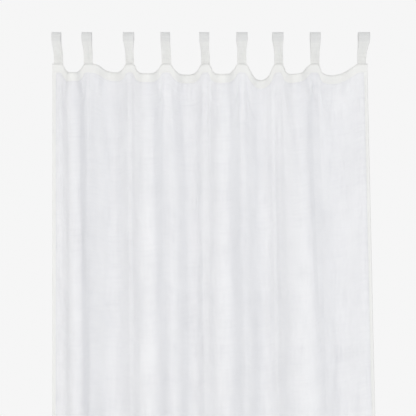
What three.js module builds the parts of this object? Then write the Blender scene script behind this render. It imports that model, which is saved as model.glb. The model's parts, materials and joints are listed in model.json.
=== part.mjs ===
// A tab-top room curtain panel of light linen, hanging from a 28 mm rod.
// Nine sewn tabs loop over the rod. The cloth between them droops in scallops and
// falls in folds that bulge to the front and to the back in turn.
// +X runs along the rod, -Y is the room side, +Z is up. The origin is on the rod's
// axis, half-way between the outer edges of the first and the last tab.
import * as THREE from 'three';

// Driving dimensions, in mm.
const FLAT_WIDTH = 1400; // the panel laid flat
const FLAT_LENGTH = 2400; // laid flat, tabs included
const HUNG_SHARE = 0.7035; // hung width over flat width
const ROD_DIAMETER = 28;
const ROD_CLEARANCE = 0.3;
const TAB_COUNT = 9;
const TAB_WIDTH = 36;
const TAB_THICKNESS = 1.2; // each leg is a turned tube of two plies
const NECK_DROP = 62; // rod axis to where a tab's legs meet
const BASE_DROP = 82; // rod axis to the panel's top edge at a tab
const CLOTH = 0.6;
const GAP = 0.3; // between neighbouring layers
const FACING_DEPTH = 28; // doubled band along the top
const SIDE_HEM = 11;
const BOTTOM_HEM = 80;
const THREAD = 0.5;
const TOP_STITCH = 3; // an edge to its line of stitches
const HEM_STITCH = 2.5; // a hem's free edge to its line of stitches
const RIGHT_FLARE = 45; // how much wider the panel hangs at the floor

// How the panel rests on the rod, left to right: each bay's share of the width,
// how deep its scallop hangs, where across the bay that is lowest, and which way
// the fold below it bulges (-1 is to the room).
const BAYS = [
  { pitch: 92, droop: 25, lowAt: 0.45, side: -1 },
  { pitch: 130, droop: 22, lowAt: 0.66, side: 1 },
  { pitch: 113, droop: 30, lowAt: 0.48, side: -1 },
  { pitch: 122, droop: 29, lowAt: 0.52, side: 1 },
  { pitch: 118, droop: 31, lowAt: 0.45, side: -1 },
  { pitch: 111, droop: 44, lowAt: 0.52, side: 1 },
  { pitch: 116, droop: 31, lowAt: 0.38, side: -1 },
  { pitch: 151, droop: 32, lowAt: 0.36, side: 1 },
];

const COLUMNS_PER_BAY = 12;
const ARC_STEPS = 15; // odd, so that one facet lies flat on top of the rod

// Sizes that follow from them.
const flatPitch = (FLAT_WIDTH - TAB_WIDTH) / (TAB_COUNT - 1);
const tabFlat = TAB_WIDTH + 3; // the cloth stays straight across a tab
const hungWidth = FLAT_WIDTH * HUNG_SHARE;
const pitchScale = (hungWidth - TAB_WIDTH) / BAYS.reduce((sum, bay) => sum + bay.pitch, 0);
const loopRadius = ROD_DIAMETER / 2 + ROD_CLEARANCE;
const tailThickness = 2 * TAB_THICKNESS;
const panelY = -(tailThickness / 2 + GAP + CLOTH / 2);
const behind = CLOTH + GAP; // middle of the panel to the middle of a hem
const behindTab = tailThickness + 2 * GAP + CLOTH; // to the facing, over a tab's tail
const inFront = -(CLOTH / 2 + GAP + THREAD / 2); // to a thread on the room side

/** Where each tab's middle rests on the rod. */
function tabCentres() {
  const centres = [-(hungWidth - TAB_WIDTH) / 2];
  for (const bay of BAYS) {
    centres.push(centres[centres.length - 1] + bay.pitch * pitchScale);
  }
  return centres;
}

const centres = tabCentres();
const leftEdge = centres[0] - TAB_WIDTH / 2;
const rightEdge = centres[TAB_COUNT - 1] + TAB_WIDTH / 2;

/** Half of a tab's strip laid flat, from the panel's top edge to the fold. */
function flatTabHeight() {
  const legAngle = Math.acos(loopRadius / NECK_DROP);
  const leg = Math.sqrt(NECK_DROP ** 2 - loopRadius ** 2);
  const wrap = (Math.PI - legAngle) * (loopRadius + TAB_THICKNESS / 2);
  return wrap + leg + BASE_DROP - NECK_DROP;
}

const bottomZ = -(BASE_DROP + FLAT_LENGTH - flatTabHeight());

/** The bay that a place along the heading is in, and how far across it, 0 to 1. */
function bayAt(x) {
  for (let i = 0; i < BAYS.length; i += 1) {
    const start = centres[i] + tabFlat / 2;
    const end = centres[i + 1] - tabFlat / 2;
    if (x > start && x < end) {
      return { index: i, start, end, across: (x - start) / (end - start) };
    }
  }
  return null;
}

/** Height of the panel's top edge: straight at a tab, a scallop between two. */
function topEdge(x) {
  const place = bayAt(x);
  if (!place) return -BASE_DROP;
  const bay = BAYS[place.index];
  const warped = place.across ** (Math.log(0.5) / Math.log(bay.lowAt));
  return -BASE_DROP - bay.droop * Math.sin(Math.PI * warped);
}

/** The panel hangs a little wider towards the floor, most at its right edge. */
function spread(x, z) {
  const down = Math.max(0, (-BASE_DROP - z) / (-BASE_DROP - bottomZ));
  const across = (x - leftEdge) / (rightEdge - leftEdge);
  return x + RIGHT_FLARE * down * across ** 2;
}

/** Length of one bulge of the given depth over a straight chord. */
function bulgeLength(chord, depth) {
  const steps = 48;
  let length = 0;
  let last = 0;
  for (let i = 1; i <= steps; i += 1) {
    const y = depth * Math.sin((Math.PI * i) / steps) ** 2;
    length += Math.hypot(chord / steps, y - last);
    last = y;
  }
  return length;
}

/** How far a bay bulges when all of its flat cloth hangs between two tabs. */
function bulgeDepth(chord) {
  const cloth = flatPitch - tabFlat;
  let low = 0;
  let high = cloth;
  for (let i = 0; i < 30; i += 1) {
    const middle = (low + high) / 2;
    if (bulgeLength(chord, middle) < cloth) low = middle;
    else high = middle;
  }
  return low;
}

/** A point on the middle of the hanging cloth. */
function wave(x, z) {
  const place = bayAt(x);
  if (!place) return new THREE.Vector2(spread(x, z), panelY);
  const chord = spread(place.end, z) - spread(place.start, z);
  const bulge = Math.sin(Math.PI * place.across) ** 2;
  const y = panelY + BAYS[place.index].side * bulgeDepth(chord) * bulge;
  return new THREE.Vector2(spread(x, z), y);
}

/** Places along the heading where the cloth's facets meet, between two limits. */
function stations(from, to) {
  const places = [from, to];
  for (let i = 0; i < TAB_COUNT; i += 1) {
    places.push(centres[i] - tabFlat / 2, centres[i] + tabFlat / 2);
  }
  for (let i = 0; i < BAYS.length; i += 1) {
    const start = centres[i] + tabFlat / 2;
    const end = centres[i + 1] - tabFlat / 2;
    for (let j = 1; j < COLUMNS_PER_BAY; j += 1) {
      places.push(start + ((end - start) * j) / COLUMNS_PER_BAY);
    }
  }
  const inside = places.filter((x) => x >= from && x <= to).sort((a, b) => a - b);
  return inside.filter((x, i) => i === 0 || x - inside[i - 1] > 0.01);
}

/** Outward direction of the cloth's back at station i, mitred at the facet edges. */
function mitre(line, i) {
  const before = line[Math.max(0, i - 1)];
  const after = line[Math.min(line.length - 1, i + 1)];
  const here = line[i];
  const a = i > 0 ? here.clone().sub(before).normalize() : after.clone().sub(here).normalize();
  const b = i < line.length - 1 ? after.clone().sub(here).normalize() : a;
  const along = a.clone().add(b).normalize();
  const back = new THREE.Vector2(-along.y, along.x);
  return back.divideScalar(along.dot(a));
}

/**
 * A closed strip of cloth or thread that follows the wave. top and bottom give its
 * height along the heading, offset how far its middle lies behind the panel's.
 */
function strip({ from, to, top, bottom, offset, thickness, rows }) {
  const xs = stations(from, to);
  const layers = [[], []];
  for (let j = 0; j <= rows; j += 1) {
    const heights = xs.map((x) => THREE.MathUtils.lerp(top(x), bottom(x), j / rows));
    const line = xs.map((x, i) => wave(x, heights[i]));
    xs.forEach((x, i) => {
      const out = mitre(line, i);
      [-thickness / 2, thickness / 2].forEach((half, face) => {
        const p = line[i].clone().addScaledVector(out, offset(x) + half);
        layers[face].push(p.x, p.y, heights[i]);
      });
    });
  }
  return closeLayers(layers, xs.length, rows + 1);
}

/** Joins a front and a back grid of points, and their rims, into one closed body. */
function closeLayers([front, back], columns, rows) {
  const shift = columns * rows;
  const index = [];
  const quad = (a, b, c, d) => index.push(a, b, c, a, c, d);
  for (let j = 0; j < rows - 1; j += 1) {
    for (let i = 0; i < columns - 1; i += 1) {
      const a = j * columns + i;
      const b = a + columns;
      quad(a, b, b + 1, a + 1);
      quad(a + shift, a + 1 + shift, b + 1 + shift, b + shift);
    }
  }
  for (let i = 0; i < columns - 1; i += 1) {
    const low = (rows - 1) * columns + i;
    quad(i, i + 1, i + 1 + shift, i + shift);
    quad(low, low + shift, low + 1 + shift, low + 1);
  }
  for (let j = 0; j < rows - 1; j += 1) {
    const left = j * columns;
    const right = left + columns - 1;
    quad(left, left + shift, left + columns + shift, left + columns);
    quad(right, right + columns, right + columns + shift, right + shift);
  }
  const geometry = new THREE.BufferGeometry();
  geometry.setAttribute('position', new THREE.Float32BufferAttribute([...front, ...back], 3));
  geometry.setIndex(index);
  geometry.computeVertexNormals();
  return geometry;
}

/** The facing swings out round the tail of a tab and lies close in between. */
function facingOffset(x) {
  return bayAt(x) ? behind : behindTab;
}

/** Panel, facing and the two kinds of hem: what is cut from flat cloth. */
function clothPieces() {
  const whole = { from: leftEdge, to: rightEdge, thickness: CLOTH };
  const hemTop = -(BASE_DROP + FACING_DEPTH + 2 * GAP);
  const side = {
    top: () => hemTop,
    bottom: () => bottomZ + BOTTOM_HEM + 2 * GAP,
    offset: () => behind,
    thickness: CLOTH,
    rows: 3,
  };
  return {
    panel_cloth: strip({ ...whole, top: topEdge, bottom: () => bottomZ, offset: () => 0, rows: 3 }),
    heading_facing: strip({
      ...whole,
      top: topEdge,
      bottom: (x) => topEdge(x) - FACING_DEPTH,
      offset: facingOffset,
      rows: 1,
    }),
    bottom_hem: strip({
      ...whole,
      top: () => bottomZ + BOTTOM_HEM,
      bottom: () => bottomZ,
      offset: () => behind,
      rows: 1,
    }),
    side_hem_left: strip({ ...side, from: leftEdge, to: leftEdge + SIDE_HEM }),
    side_hem_right: strip({ ...side, from: rightEdge - SIDE_HEM, to: rightEdge }),
  };
}

/** Lines of stitching on the room side, each one continuous thread. */
function seamPieces() {
  const seam = { offset: () => inFront, thickness: THREAD };
  const across = { ...seam, from: leftEdge + TOP_STITCH, to: rightEdge - TOP_STITCH, rows: 1 };
  const lowerSeam = FACING_DEPTH - HEM_STITCH;
  const bottomSeam = bottomZ + BOTTOM_HEM - HEM_STITCH;
  const down = {
    ...seam,
    top: () => -(BASE_DROP + lowerSeam + 2 * THREAD),
    bottom: () => bottomSeam + 2 * THREAD,
    rows: 3,
  };
  const inset = SIDE_HEM - HEM_STITCH;
  const line = (height) => ({ top: height, bottom: (x) => height(x) - THREAD });
  return {
    heading_upper_seam: strip({ ...across, ...line((x) => topEdge(x) - TOP_STITCH) }),
    heading_lower_seam: strip({ ...across, ...line((x) => topEdge(x) - lowerSeam) }),
    bottom_seam: strip({ ...across, ...line(() => bottomSeam) }),
    side_seam_left: strip({ ...down, from: leftEdge + inset, to: leftEdge + inset + THREAD }),
    side_seam_right: strip({ ...down, from: rightEdge - inset - THREAD, to: rightEdge - inset }),
  };
}

/** Points round the top of the rod, from the front leg's tangent point to the back's. */
function wrapPoints(flatRadius, legAngle) {
  const step = (2 * (Math.PI - legAngle)) / ARC_STEPS;
  const radius = flatRadius / Math.cos(step / 2);
  const points = [];
  for (let i = 0; i <= ARC_STEPS; i += 1) {
    const angle = legAngle + i * step;
    points.push(new THREE.Vector2(-radius * Math.sin(angle), -radius * Math.cos(angle)));
  }
  return points;
}

/** A tab seen along the rod: a loop round it, and the tail that is sewn in. */
function tabGeometry() {
  const legAngle = Math.acos(loopRadius / NECK_DROP);
  const outerRadius = loopRadius + TAB_THICKNESS;
  const half = tailThickness / 2;
  const shoulder = -(outerRadius - half * Math.sin(legAngle)) / Math.cos(legAngle);
  const tailEnd = -(BASE_DROP + FACING_DEPTH - TOP_STITCH);
  const shape = new THREE.Shape([
    new THREE.Vector2(half, tailEnd),
    new THREE.Vector2(-half, tailEnd),
    new THREE.Vector2(-half, shoulder),
    ...wrapPoints(outerRadius, legAngle),
    new THREE.Vector2(half, shoulder),
  ]);
  const bore = [new THREE.Vector2(0, -NECK_DROP), ...wrapPoints(loopRadius, legAngle)];
  shape.holes.push(new THREE.Path(bore.reverse())); // a hole turns the other way round
  const geometry = new THREE.ExtrudeGeometry(shape, { depth: TAB_WIDTH, bevelEnabled: false });
  geometry.translate(0, 0, -TAB_WIDTH / 2);
  const turn = new THREE.Matrix4().makeBasis(
    new THREE.Vector3(0, 1, 0),
    new THREE.Vector3(0, 0, 1),
    new THREE.Vector3(1, 0, 0),
  );
  return geometry.applyMatrix4(turn);
}

const linen = { color: 0xedede9, roughness: 0.95, metalness: 0 };
const doubled = { color: 0xeeede6, roughness: 0.95, metalness: 0 };
const thread = { color: 0xf1f0ea, roughness: 0.7, metalness: 0 };

function addPiece(parent, name, geometry, finish) {
  const mesh = new THREE.Mesh(geometry, new THREE.MeshStandardMaterial(finish));
  mesh.name = name;
  parent.add(mesh);
  return mesh;
}

function buildCurtain() {
  const curtain = new THREE.Group();
  for (const [name, geometry] of Object.entries(clothPieces())) {
    addPiece(curtain, name, geometry, name === 'panel_cloth' ? linen : doubled);
  }
  for (const [name, geometry] of Object.entries(seamPieces())) {
    addPiece(curtain, name, geometry, thread);
  }
  centres.forEach((x, i) => {
    addPiece(curtain, `tab_${i + 1}`, tabGeometry(), doubled).position.x = x;
  });
  return curtain;
}

const group = buildCurtain();
export default group;
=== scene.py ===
# %% [markdown]
# # A tab-top curtain panel in half-sheer linen
#
# This lesson dresses a finished, jointed model of a curtain: one width of light
# linen, hung from a rod by nine sewn tabs. The plain model fixes where each tab
# sits and how big everything is. Here the cloth gets its real fall, the tabs their
# crumpled necks, and every piece its weave and stitching.
#
# Everything is in metres. +X runs along the rod, -Y faces the room, +Z is up, and
# the origin lies on the rod's axis.

# %% Load the frame
import json
import math

import bpy
import numpy as np
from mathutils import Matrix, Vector


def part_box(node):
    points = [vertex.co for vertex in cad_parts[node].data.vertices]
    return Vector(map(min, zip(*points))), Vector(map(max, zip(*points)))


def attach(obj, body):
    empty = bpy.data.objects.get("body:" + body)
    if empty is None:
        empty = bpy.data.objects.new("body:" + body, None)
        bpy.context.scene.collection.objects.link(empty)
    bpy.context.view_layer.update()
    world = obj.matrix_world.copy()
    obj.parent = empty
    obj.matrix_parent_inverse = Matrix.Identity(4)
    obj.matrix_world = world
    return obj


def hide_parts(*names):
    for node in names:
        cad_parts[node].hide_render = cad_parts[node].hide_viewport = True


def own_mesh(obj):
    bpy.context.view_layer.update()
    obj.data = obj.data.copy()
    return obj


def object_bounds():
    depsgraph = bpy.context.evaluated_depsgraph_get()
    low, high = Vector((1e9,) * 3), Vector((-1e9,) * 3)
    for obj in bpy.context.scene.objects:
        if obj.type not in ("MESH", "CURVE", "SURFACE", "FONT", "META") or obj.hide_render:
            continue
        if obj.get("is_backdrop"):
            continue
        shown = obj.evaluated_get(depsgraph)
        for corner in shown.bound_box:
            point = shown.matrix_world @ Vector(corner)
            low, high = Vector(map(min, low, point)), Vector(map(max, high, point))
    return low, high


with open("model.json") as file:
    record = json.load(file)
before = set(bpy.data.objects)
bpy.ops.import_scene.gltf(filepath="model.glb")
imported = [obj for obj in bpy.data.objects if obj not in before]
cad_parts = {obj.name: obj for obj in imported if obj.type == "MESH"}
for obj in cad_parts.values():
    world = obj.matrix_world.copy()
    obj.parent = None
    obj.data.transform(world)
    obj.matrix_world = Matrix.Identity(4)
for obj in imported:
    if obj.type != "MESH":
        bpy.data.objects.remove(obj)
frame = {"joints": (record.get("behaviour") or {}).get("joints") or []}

for name in ("Cube", "Light", "Camera"):      # the empty file's own objects
    if name in bpy.data.objects:
        bpy.data.objects.remove(bpy.data.objects[name])
frame_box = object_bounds()
TABS = [f"tab_{i + 1}" for i in range(9)]
print("frame box, m:", [[round(c, 3) for c in corner] for corner in frame_box])

# %% [markdown]
# ## Sizes that every piece shares
#
# A seamstress cuts the cloth flat and only then hangs it, so the lesson keeps both
# sets of sizes: the flat cut, and where each tab rests on the rod. The tabs' places
# are measured on the plain model, so the two can't drift apart.

# %% Shared sizes
FLAT_WIDTH = 1.400
FLAT_LENGTH = 2.400          # tabs included
CLOTH = 0.0006               # one layer of linen
LAYER_GAP = 0.0003           # between two layers that are sewn together
TAB_WIDTH = 0.036            # on the flat cut
TAB_THICKNESS = 0.0012       # a tab is a turned tube, so it is two layers thick
FACING_DEPTH = 0.028         # doubled band along the top
SIDE_HEM = 0.011             # turned edge down each side
BOTTOM_HEM = 0.080


def middle_x(node):
    """Where a node of the plain model lies along the rod."""
    low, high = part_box(node)
    return (low[0] + high[0]) / 2


tab_x = np.array([middle_x(node) for node in TABS])
bottom_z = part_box("panel_cloth")[0][2]
base_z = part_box("panel_cloth")[1][2]         # the panel's top edge, at a tab
PANEL_HEIGHT = base_z - bottom_z
tab_pitch = (FLAT_WIDTH - TAB_WIDTH) / (len(TABS) - 1)
tab_cut = TAB_WIDTH / 2 + tab_pitch * np.arange(len(TABS))   # tab middles on the flat cut
print("tab middles, m:", np.round(tab_x, 3), "panel height:", round(PANEL_HEIGHT, 3))

# %% [markdown]
# ## How a bay of cloth buckles
#
# Between two tabs there is more cloth than room, so it bows out, to the front in one
# bay and to the back in the next. A thin strip that is pushed together takes the
# curve of a bent spring: its slope swings one way and then the other along its
# length. Writing the curve as a slope keeps the cloth's length exact, which a
# drawn-in wave would not. Two unknowns, how far it swings and how much it leans, are
# found by trying and correcting until the strip ends where the next tab is. The whole
# panel is later built from rows of such bays, one row below the other.

# %% One bay's curve
CURVE_STEPS = 64


def slope_curve(arc, start, end, swing, lean, side):
    """Points along a strip of length arc whose slope runs from start to end."""
    t = (np.arange(CURVE_STEPS) + 0.5) / CURVE_STEPS
    slope = start + (end - start) * t + side * swing * np.sin(2 * np.pi * t)
    slope = slope + lean * np.sin(np.pi * t)
    step = arc / CURVE_STEPS
    x = np.concatenate([[0], np.cumsum(np.cos(slope))]) * step
    y = np.concatenate([[0], np.cumsum(np.sin(slope))]) * step
    return x, y


def bay_curve(arc, chord, rise, start, end, side):
    """The strip of cloth that spans chord and rise, found by Newton's method."""
    swing, lean = 1.0, 0.0
    for _ in range(12):
        x, y = slope_curve(arc, start, end, swing, lean, side)
        miss = np.array([x[-1] - chord, y[-1] - rise])
        if np.abs(miss).max() < 1e-6:
            break
        nudge = 1e-4
        xs, ys = slope_curve(arc, start, end, swing + nudge, lean, side)
        xl, yl = slope_curve(arc, start, end, swing, lean + nudge, side)
        slopes = np.array([[xs[-1] - x[-1], xl[-1] - x[-1]],
                           [ys[-1] - y[-1], yl[-1] - y[-1]]]) / nudge
        change = np.clip(np.linalg.solve(slopes, miss), -0.4, 0.4)
        swing, lean = max(0.05, swing - change[0]), lean - change[1]
    return slope_curve(arc, start, end, swing, lean, side)


test_x, test_y = bay_curve(0.1345, 0.080, 0.0, 0.0, 0.0, -1)
print("a bay 80 mm wide bows out by, mm:", round(abs(test_y).max() * 1000, 1))

# %% [markdown]
# ## The folds and the scalloped edge
#
# At the heading the cloth lies flat across every tab. Further down nothing holds it
# flat, so the wave relaxes: the slope where it crosses the rod's line grows, and some
# crossings wander along the cloth, which is what makes a fold lean. Between two tabs
# the top edge sags in a scallop. Nine tabs that were pushed along a rod by hand are
# never evenly spaced or evenly turned, so these values are lists, with one entry for
# each tab or bay, and not one number for all.

# %% Folds and bays
FOLDS = [  # turn at the base and slope below, in degrees; wander and base shift, in metres
    (0, 18, 0.000, 0.001),
    (14, 52, 0.022, 0.004),
    (-26, -52, 0.008, 0.001),
    (6, 30, 0.034, 0.003),
    (-26, -56, 0.000, 0.002),
    (8, 42, 0.016, -0.002),
    (-28, -60, 0.010, 0.001),
    (8, 44, 0.055, -0.002),
    (0, 20, 0.000, -0.007),
]
BAYS = [  # side it bows to (-1 is the room), scallop's depth in metres, lowest place, squareness
    (-1, 0.031, 0.47, 3.2),
    (1, 0.024, 0.66, 2.4),
    (-1, 0.034, 0.48, 2.6),
    (1, 0.031, 0.50, 3.0),
    (-1, 0.036, 0.46, 2.6),
    (1, 0.049, 0.52, 1.7),
    (-1, 0.036, 0.38, 2.2),
    (1, 0.035, 0.33, 2.1),
]
base_shift = np.array([shift for _, _, _, shift in FOLDS])
print("folds:", len(FOLDS), "bays:", len(BAYS), "deepest scallop, mm:", 1000 * max(bay[1] for bay in BAYS))

# %% [markdown]
# ## The top edge
#
# Each scallop is a power curve: a high power gives a flat bottom with steep ends, and
# a skewed start moves its lowest place to one side. The sharp corner at each tab is
# eased by taking the mean of a few shifted copies. A thread that runs down the sag is
# no longer level, so it reaches less far along the rod. level_length keeps account of
# that, and the wave in plan then uses exactly the cloth that is left.

# %% Scallops
SHELF = 0.012                # half of the straight stretch of edge at a tab
CORNER_EASE = 0.006
LASTING_SAG = 0.5            # share of the scallop that is still there at the hem
SAG_FADE = 0.6               # how far down the rest of it has mostly gone, in metres
STEEPEST = 0.85              # of the sag, as a sine
FINE_THREADS = 2801          # one every half millimetre


def scallop(cuts):
    """How far the top edge hangs below the tabs, with a sharp corner at each tab."""
    sag = np.zeros_like(cuts)
    for i, (_, depth, lowest, square) in enumerate(BAYS):
        start, end = tab_cut[i] + SHELF, tab_cut[i + 1] - SHELF
        across = np.clip((cuts - start) / (end - start), 0, 1) ** (math.log(0.5) / math.log(lowest))
        sag = sag + depth * (1 - np.abs(2 * across - 1) ** square)
    return sag


def droop(cuts):
    """The scallops with their corners eased."""
    return sum(scallop(cuts + shift) for shift in CORNER_EASE * np.linspace(-1, 1, 5)) / 5


def sag_at(down):
    """The share of the scallop that is left further down the panel."""
    return LASTING_SAG + (1 - LASTING_SAG) * math.exp(-down / SAG_FADE)


def level_length(down):
    """Cloth left for the wave in plan, once a row has used some of it to droop."""
    cuts = np.linspace(0, FLAT_WIDTH, FINE_THREADS)
    drop = np.clip(np.gradient(droop(cuts) * sag_at(down), cuts), -STEEPEST, STEEPEST)
    used = np.sqrt(1 - drop ** 2)
    level = np.concatenate([[0], np.cumsum((used[1:] + used[:-1]) / 2 * np.diff(cuts))])
    return cuts, level


print("cloth left at the heading, m:", round(float(level_length(0)[1][-1]), 3), "of", FLAT_WIDTH)

# %% [markdown]
# ## Small pleats
#
# Where a tab pulls, a few soft ridges run down from its foot and die out. They are too
# small for the wave to make, and a sculpted ridge would not follow the threads, so
# each is a narrow bump added to the wave's depth. A bump that starts at a place on the
# cut keeps to its threads all the way down.

# %% Pleats below the tabs
CREASES = [  # start along the cut, wander per metre, half width, depth and length, in metres
    (0.052, 0.004, 0.016, 0.0025, 1.2),
    (0.349, 0.010, 0.014, 0.0045, 2.5),
    (0.690, -0.004, 0.026, 0.0065, 2.2),
    (0.998, 0.004, 0.014, 0.0055, 2.6),
    (1.160, 0.030, 0.018, 0.0030, 1.1),
    (1.330, 0.010, 0.018, 0.0055, 1.6),
]
CREASE_ONSET = 0.04          # how far below the edge they are fully there


def ridges(cuts, down):
    """How far the small pleats that hang from the tabs stand out of the wave."""
    y = np.zeros_like(cuts)
    onset = 1 - math.exp(-down / CREASE_ONSET)
    for start, wander, half_width, depth, length in CREASES:
        away = (cuts - start - wander * down) / half_width
        y = y - depth * np.exp(-away ** 2) * onset * math.exp(-down / length)
    return y


print("deepest pleat half-way down, mm:",
      round(-1000 * float(ridges(np.linspace(0, FLAT_WIDTH, 200), PANEL_HEIGHT / 2).min()), 1))

# %% [markdown]
# ## One row of cloth
#
# A row is put together from short straight stretches, one below each tab, with a
# buckled bay between each two of them and a free edge at either end. Every thread is
# then found by the length of cloth before it. The right edge flares out a little
# towards the hem, as a panel does that hangs slightly pulled to one side.

# %% Rows of the wave
HEADING_STIFF = 0.060        # how far down a tab keeps the cloth flat
RELAX = 0.30                 # how far down the wave has opened out
RIGHT_FLARE = 0.056          # at the hem
LEAST_FLAT = 0.004           # half of the straight stretch, far below the tabs
panel_y = -(TAB_THICKNESS + LAYER_GAP + CLOTH / 2)


def plumb(cut, down):
    """Where along the rod a thread of the cloth hangs, down metres below the heading."""
    x = np.interp(cut, tab_cut, tab_x + base_shift)
    x = x + np.clip(cut - tab_cut[-1], 0, None) + np.clip(cut - tab_cut[0], None, 0)
    return x + RIGHT_FLARE * (down / PANEL_HEIGHT) * (cut / FLAT_WIDTH) ** 2


def stretches_below_tabs(down):
    """For each tab: the thread and the place at both ends of its straight stretch, and its turn."""
    open_share = 1 - math.exp(-down / RELAX)
    flat = max(LEAST_FLAT, TAB_WIDTH / 2 * math.exp(-down / HEADING_STIFF))
    stretches = []
    for (base, below, wander, _), cut in zip(FOLDS, tab_cut):
        angle = math.radians(base + (below - base) * open_share)
        middle = cut + wander * open_share
        centre = np.array([plumb(middle, down), panel_y])
        reach = np.array([flat * math.cos(angle), flat * math.sin(angle)])
        stretches.append((middle - flat, centre - reach, middle + flat, centre + reach, angle))
    return stretches


def free_edge(stretch, edge):
    """The place of the panel's own edge, straight on from the nearest tab's stretch."""
    cut_a, point_a, cut_b, point_b, angle = stretch
    reach = edge - (cut_a + cut_b) / 2
    return (point_a + point_b) / 2 + np.array([reach * math.cos(angle), reach * math.sin(angle)])


def row_of_cloth(cuts, down):
    """x and y of the given threads at one height."""
    fine_cut, fine_level = level_length(down)
    stretches = stretches_below_tabs(down)
    levels = [fine_level[:1]]
    places = [free_edge(stretches[0], 0.0)[:, None]]
    for (side, _, _, _), before, after in zip(BAYS, stretches, stretches[1:]):
        (_, _, cut_a, point_a, angle_a), (cut_b, point_b, _, _, angle_b) = before, after
        chord, rise = point_b - point_a
        level_a, level_b = np.interp([cut_a, cut_b], fine_cut, fine_level)
        bay = bay_curve(level_b - level_a, chord, rise, angle_a, angle_b, side)
        levels.append(np.linspace(level_a, level_b, CURVE_STEPS + 1))
        places.append(point_a[:, None] + np.array(bay))
    levels.append(fine_level[-1:])
    places.append(free_edge(stretches[-1], FLAT_WIDTH)[:, None])
    known = np.concatenate(levels)
    x, y = np.concatenate(places, axis=1)
    wanted = np.interp(cuts, fine_cut, fine_level)
    return np.interp(wanted, known, x), np.interp(wanted, known, y) + ridges(cuts, down)


row_x, row_y = row_of_cloth(tab_cut, PANEL_HEIGHT)
print("tabs' threads at the hem, x in m:", np.round(row_x, 3))

# %% [markdown]
# ## The grid of the cloth
#
# The panel is divided across by threads and down by rows. A line runs along every
# edge that a tab or a hem has, so that those pieces can be cut from the same grid
# later. Rows are close together at the heading, where the cloth changes fastest.

# %% Grid of the cloth
COLUMNS_PER_BAY = 16
HEM_ROWS = 5                 # also the rows of the facing
FIRST_STEP, LAST_STEP = 0.008, 0.030     # between two rows
STEP_GROWTH = 1.05
FINE_UNTIL = 0.12            # metres below the heading
LEAST_COLUMN = 0.003


def cut_grid():
    """Where the cloth is divided across, with a line along each tab's and hem's edge."""
    tab_lines = np.array([-TAB_WIDTH / 2, -SHELF, -SHELF / 2, 0, SHELF / 2, SHELF, TAB_WIDTH / 2])
    edge_lines = np.array([0, SIDE_HEM / 2, SIDE_HEM])
    lines = [edge_lines, FLAT_WIDTH - edge_lines]
    for i, middle in enumerate(tab_cut):
        lines.append(middle + tab_lines)
        if i < len(BAYS):
            start, end = middle + TAB_WIDTH / 2, tab_cut[i + 1] - TAB_WIDTH / 2
            lines.append(np.linspace(start, end, COLUMNS_PER_BAY))
    ordered = np.sort(np.concatenate(lines))
    return ordered[np.concatenate([[True], np.diff(ordered) > LEAST_COLUMN])]


def down_grid():
    """Rows close together at the heading, further apart below, with one at each hem."""
    heading = np.linspace(0, FACING_DEPTH, HEM_ROWS)
    hem = PANEL_HEIGHT - BOTTOM_HEM
    steps, step = [FACING_DEPTH], FIRST_STEP
    while steps[-1] < hem - 0.01:
        steps.append(steps[-1] + step)
        step = step if steps[-1] < FINE_UNTIL else min(LAST_STEP, step * STEP_GROWTH)
    stretch = (hem - FACING_DEPTH) / (steps[-1] - FACING_DEPTH)
    body = FACING_DEPTH + (np.array(steps) - FACING_DEPTH) * stretch
    return np.concatenate([heading[:-1], body, np.linspace(hem, PANEL_HEIGHT, HEM_ROWS)[1:]])


cut_lines = cut_grid()
down_lines = down_grid()
hung = np.zeros((len(down_lines), len(cut_lines), 3))
for j, down in enumerate(down_lines):
    hung[j, :, 0], hung[j, :, 1] = row_of_cloth(cut_lines, down)
    hung[j, :, 2] = base_z - down - droop(cut_lines) * sag_at(down)
print("cloth grid:", hung.shape[:2], "depth of folds, m:",
      np.round([hung[:, :, 1].min(), hung[:, :, 1].max()], 3))

# %% [markdown]
# ## Letting the cloth hang
#
# The wave is a good guess, but real cloth also creases where a tab pulls on it. A
# short cloth simulation adds that: the top edge is pinned across each tab and
# gravity does the rest for a second or so. Linen shears easily but hardly
# stretches, so the shear springs are far weaker than the others. The result is read
# back as plain points, and the simulated object is thrown away.

# %% Cloth simulation
SETTLE_FRAMES = 30           # a little over a second
LINEN = {"quality": 4, "mass": 0.002, "tension_stiffness": 40, "compression_stiffness": 40,
         "shear_stiffness": 0.4, "bending_stiffness": 0.01, "tension_damping": 0,
         "compression_damping": 0, "shear_damping": 0, "bending_damping": 0, "air_damping": 0.02}


def cells_of(grid):
    """The four corners of each cell of a grid of point numbers."""
    return np.stack([grid[:-1, :-1], grid[1:, :-1], grid[1:, 1:], grid[:-1, 1:]], -1).reshape(-1, 4)


def grid_object(name, points):
    """A plain open sheet, one quad for each cell of the grid."""
    rows, columns = points.shape[:2]
    quads = cells_of(np.arange(rows * columns).reshape(rows, columns))
    mesh = bpy.data.meshes.new(name)
    mesh.from_pydata(points.reshape(-1, 3).tolist(), [], quads.tolist())
    made = bpy.data.objects.new(name, mesh)
    bpy.context.collection.objects.link(made)
    return made


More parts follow.
